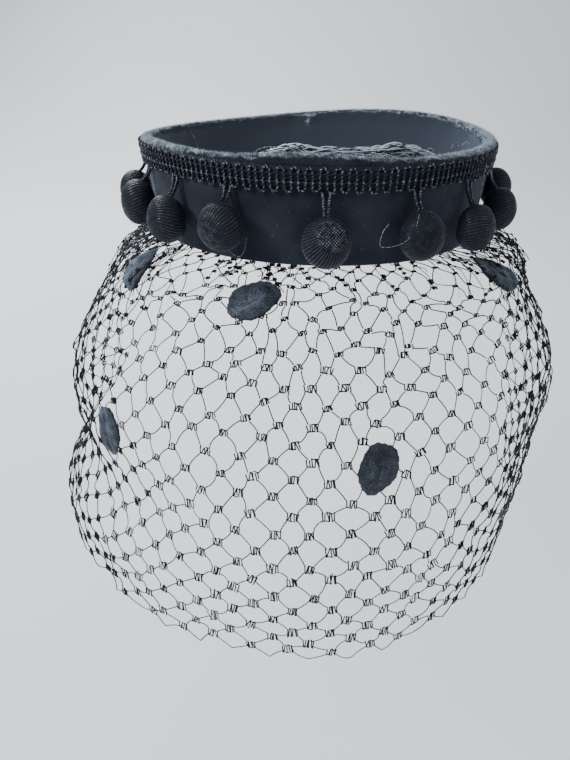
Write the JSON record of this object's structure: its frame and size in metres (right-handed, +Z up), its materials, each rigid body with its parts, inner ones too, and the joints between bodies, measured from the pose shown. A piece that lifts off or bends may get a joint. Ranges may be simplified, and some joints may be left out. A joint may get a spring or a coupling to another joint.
{
  "type": "pillbox hat with a face veil",
  "caption": "Open-crown pillbox ring hat in black velvet with gimp braid, hanging wrapped balls and a dotted net face veil that hangs to the mouth.",
  "frame": {"origin": "centre of the ring's lower opening, where the hat sits on a head", "axes": "+Z up along the ring's axis, the front of the hat towards -Y, the wearer's left side towards +X"},
  "size_m": [0.2491, 0.2252, 0.1893],
  "materials": {
    "velvet": "black velvet with a blue-grey worn nap along the rim",
    "braid": "black rayon thread with small glints",
    "netting": "stiff black thread net with a slight shine",
    "flock": "dark slate chenille velvet dots"
  },
  "bodies": {
    "root": {"crown_band": "velvet", "gimp_braid": "braid", "ball_01": "braid", "ball_loop_01": "braid", "ball_02": "braid", "ball_loop_02": "braid", "ball_03": "braid", "ball_loop_03": "braid", "ball_04": "braid", "ball_loop_04": "braid", "ball_05": "braid", "ball_loop_05": "braid", "ball_06": "braid", "ball_loop_06": "braid", "ball_07": "braid", "ball_loop_07": "braid", "ball_08": "braid", "ball_loop_08": "braid", "ball_09": "braid", "ball_loop_09": "braid", "ball_10": "braid", "ball_loop_10": "braid", "ball_11": "braid", "ball_loop_11": "braid", "ball_12": "braid", "ball_loop_12": "braid", "ball_13": "braid", "ball_loop_13": "braid", "ball_14": "braid", "ball_loop_14": "braid", "ball_15": "braid", "ball_loop_15": "braid", "ball_16": "braid", "ball_loop_16": "braid", "veil_net": "netting", "veil_dot_1": "flock", "veil_dot_2": "flock", "veil_dot_3": "flock", "veil_dot_4": "flock", "veil_dot_5": "flock", "net_gather": "netting"}
  },
  "joints": []
}
